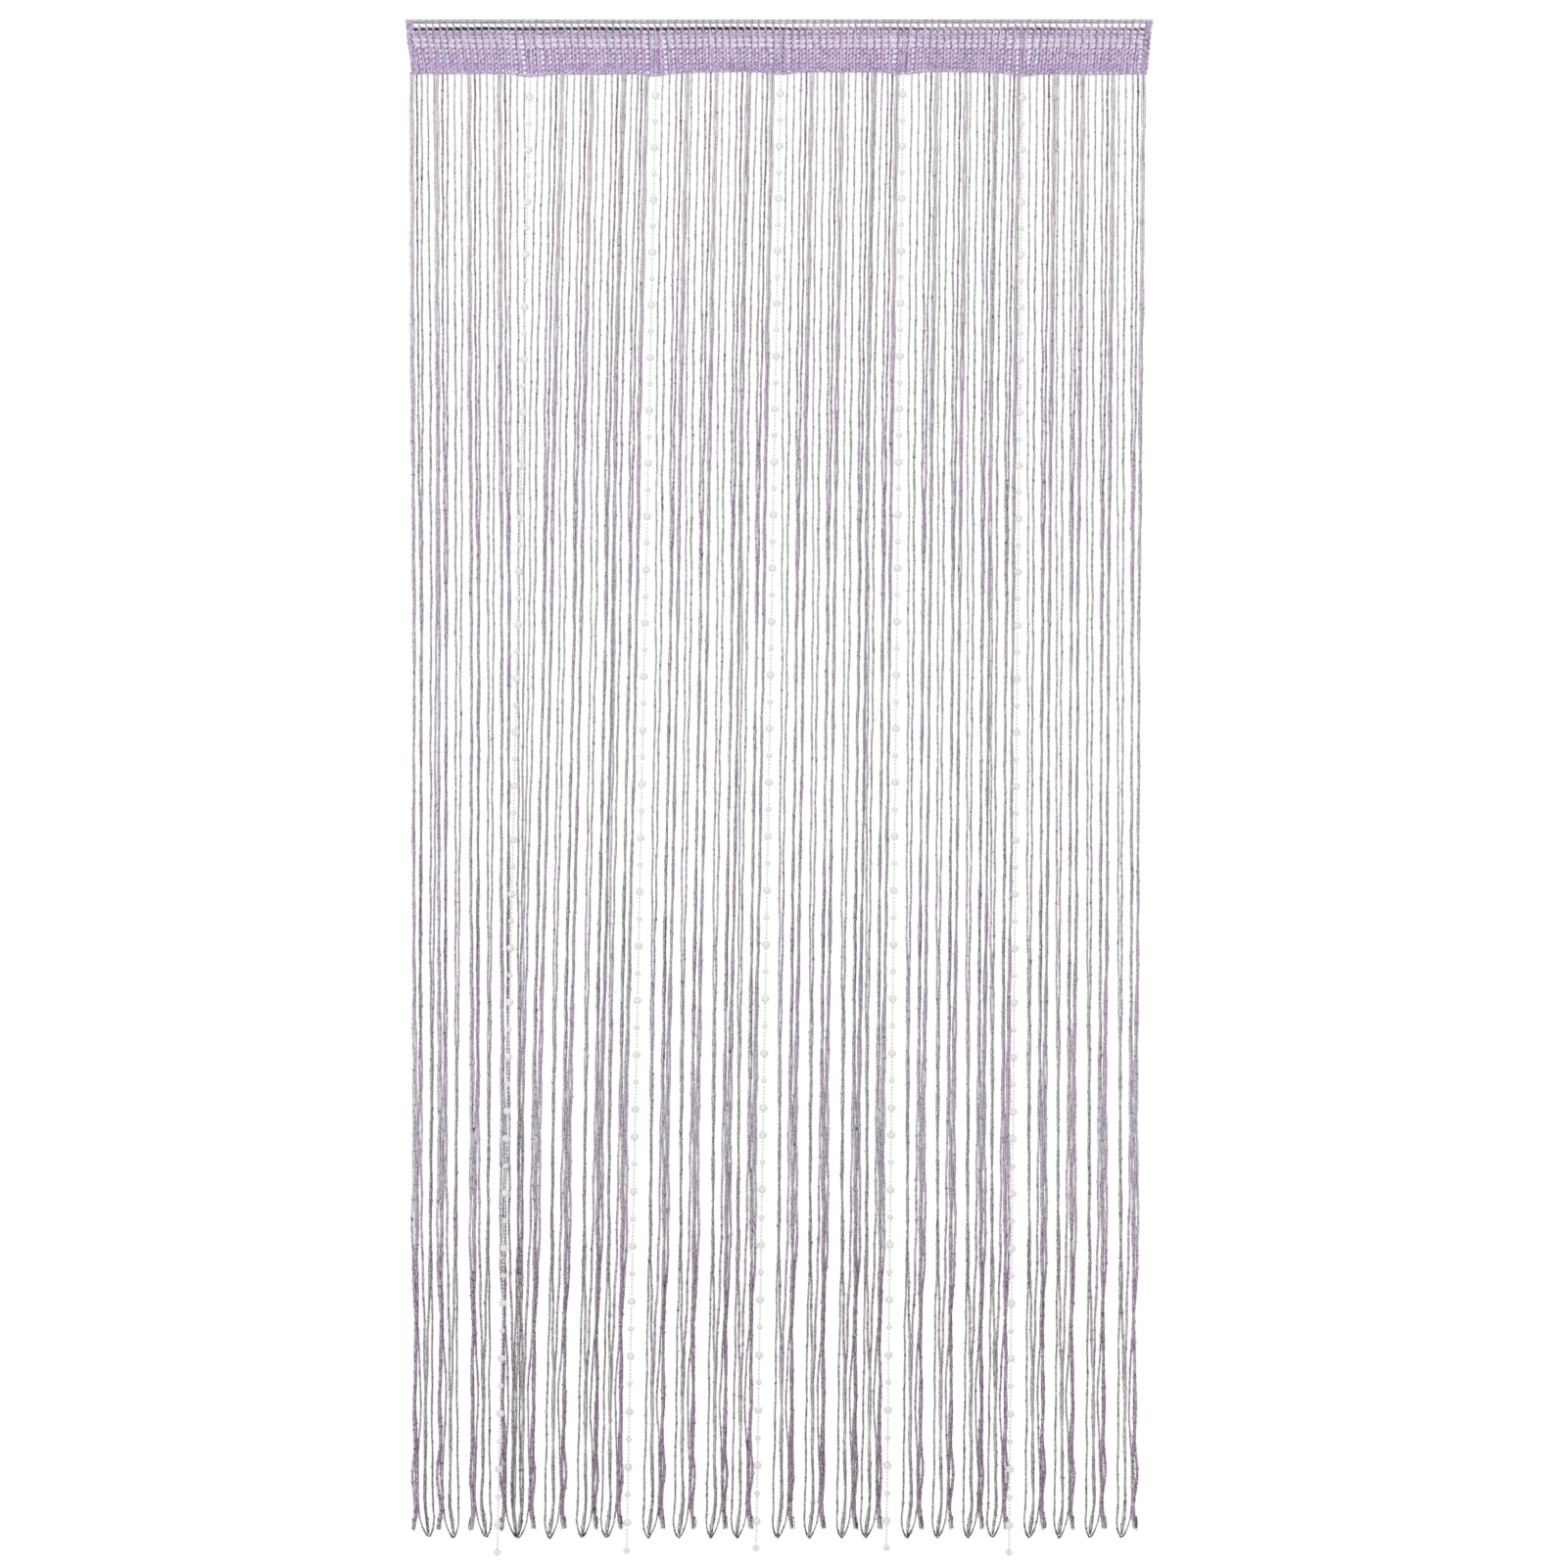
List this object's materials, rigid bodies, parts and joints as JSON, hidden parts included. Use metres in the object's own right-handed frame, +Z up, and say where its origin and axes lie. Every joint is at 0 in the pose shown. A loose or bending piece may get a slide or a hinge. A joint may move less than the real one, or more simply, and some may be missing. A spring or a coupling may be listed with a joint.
{
  "type": "bead and string curtain with a net header",
  "caption": "Doorway curtain of looped tinsel strings and clear bead strings, hanging from a lilac net header with a rod pocket.",
  "frame": {"origin": "middle of the header's top edge", "axes": "+X to the viewer's right along the header, +Y away from the viewer, +Z up; the curtain hangs along -Z"},
  "size_m": [1, 0.0252, 2.0489],
  "materials": {
    "net": "matt warp-knitted lilac net",
    "seam": "dark sewing thread",
    "yarn": "dusty purple and grey tinsel yarn with sparkles",
    "bead": "clear, faceted, on clear thread"
  },
  "bodies": {
    "root": {"header_net": "net", "seam_thread": "seam", "string_fringe": "yarn", "bead_string_1": "bead", "bead_string_2": "bead", "bead_string_3": "bead", "bead_string_4": "bead", "bead_string_5": "bead"}
  },
  "joints": []
}
